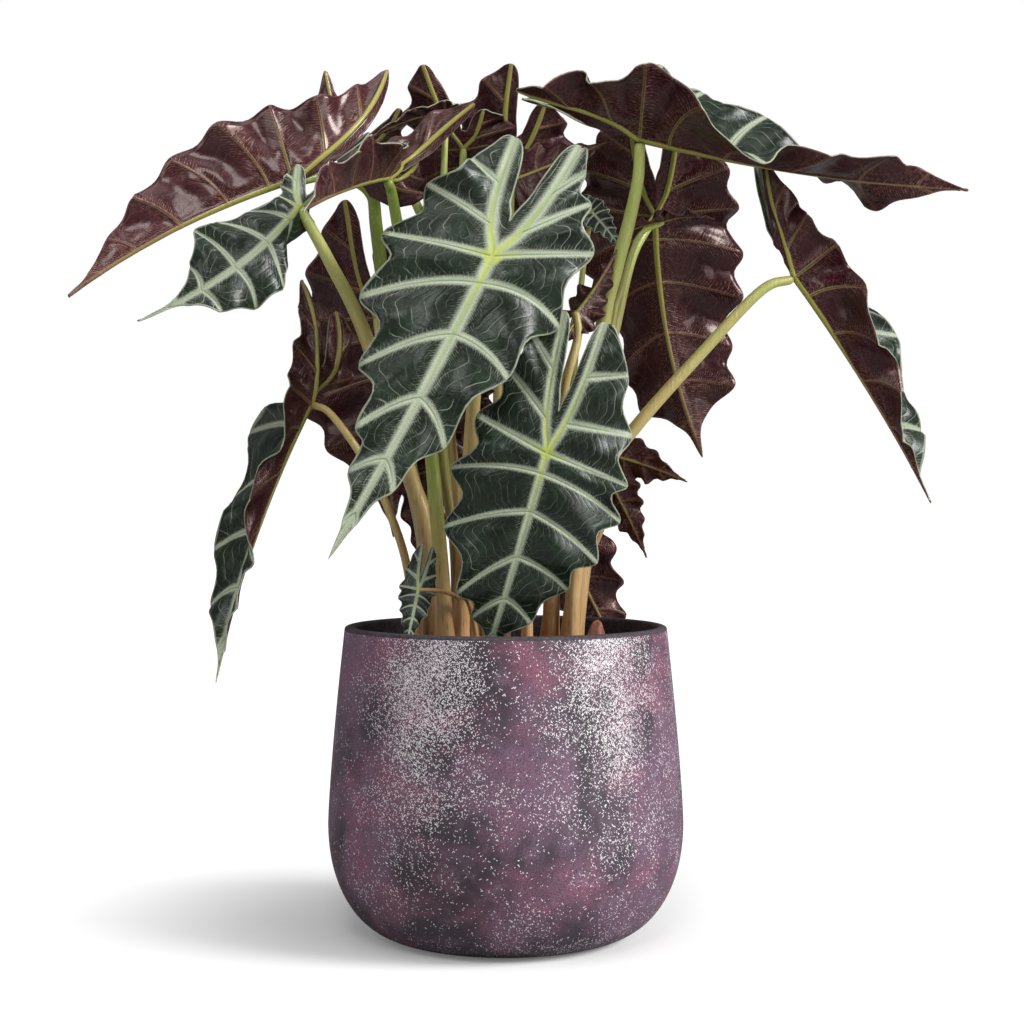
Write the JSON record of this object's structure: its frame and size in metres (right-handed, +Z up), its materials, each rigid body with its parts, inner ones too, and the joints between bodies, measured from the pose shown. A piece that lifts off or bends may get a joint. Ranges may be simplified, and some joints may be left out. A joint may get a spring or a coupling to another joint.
{
  "type": "potted african mask plant",
  "caption": "Round pot of soil with an african mask plant: arrow-shaped, wavy-edged dark leaves with pale veins on bare arching stalks.",
  "frame": {"origin": "centre of the pot's flat underside, on the surface it stands on", "axes": "+Z up through the pot's axis, -Y towards the viewer of the front, +X to that viewer's right"},
  "size_m": [0.57, 0.3703, 0.5969],
  "materials": {
    "blade": "semi-gloss dark green top, deep maroon underside, pale veins",
    "stalk": "satin yellow-green, mottled brown towards the soil",
    "dry_sheath": "matt dry brown",
    "soil": "matt dark crumbly potting mix",
    "pot": "satin mauve-grey with pink patches and silver flecks"
  },
  "bodies": {
    "root": {"leaf_front_upper_blade": "blade", "leaf_front_upper_stalk": "stalk", "leaf_front_lower_blade": "blade", "leaf_front_lower_stalk": "stalk", "leaf_left_arching_blade": "blade", "leaf_left_arching_stalk": "stalk", "leaf_left_facing_blade": "blade", "leaf_left_facing_stalk": "stalk", "leaf_left_folded_blade": "blade", "leaf_left_folded_stalk": "stalk", "leaf_back_left_top_blade": "blade", "leaf_back_left_top_stalk": "stalk", "leaf_back_top_small_blade": "blade", "leaf_back_top_small_stalk": "stalk", "leaf_back_top_left_blade": "blade", "leaf_back_top_left_stalk": "stalk", "leaf_back_top_middle_blade": "blade", "leaf_back_top_middle_stalk": "stalk", "leaf_right_arching_blade": "blade", "leaf_right_arching_stalk": "stalk", "leaf_right_hanging_blade": "blade", "leaf_right_hanging_stalk": "stalk", "leaf_right_inner_small_blade": "blade", "leaf_right_inner_small_stalk": "stalk", "leaf_centre_bud_blade": "blade", "leaf_centre_bud_stalk": "stalk", "leaf_right_folded_blade": "blade", "leaf_right_folded_stalk": "stalk", "leaf_left_hanging_blade": "blade", "leaf_left_hanging_stalk": "stalk", "leaf_left_back_blade": "blade", "leaf_left_back_stalk": "stalk", "leaf_right_low_blade": "blade", "leaf_right_low_stalk": "stalk", "leaf_right_low_curled_blade": "blade", "leaf_right_low_curled_stalk": "stalk", "leaf_right_back_low_blade": "blade", "leaf_right_back_low_stalk": "stalk", "leaf_front_low_tiny_blade": "blade", "leaf_front_low_tiny_stalk": "stalk", "leaf_centre_top_tiny_blade": "blade", "leaf_centre_top_tiny_stalk": "stalk", "leaf_centre_back_small_blade": "blade", "leaf_centre_back_small_stalk": "stalk", "leaf_left_back_low_blade": "blade", "leaf_left_back_low_stalk": "stalk", "leaf_centre_top_blade": "blade", "leaf_centre_top_stalk": "stalk", "dry_sheath_scale": "dry_sheath", "soil": "soil", "pot": "pot"}
  },
  "joints": []
}
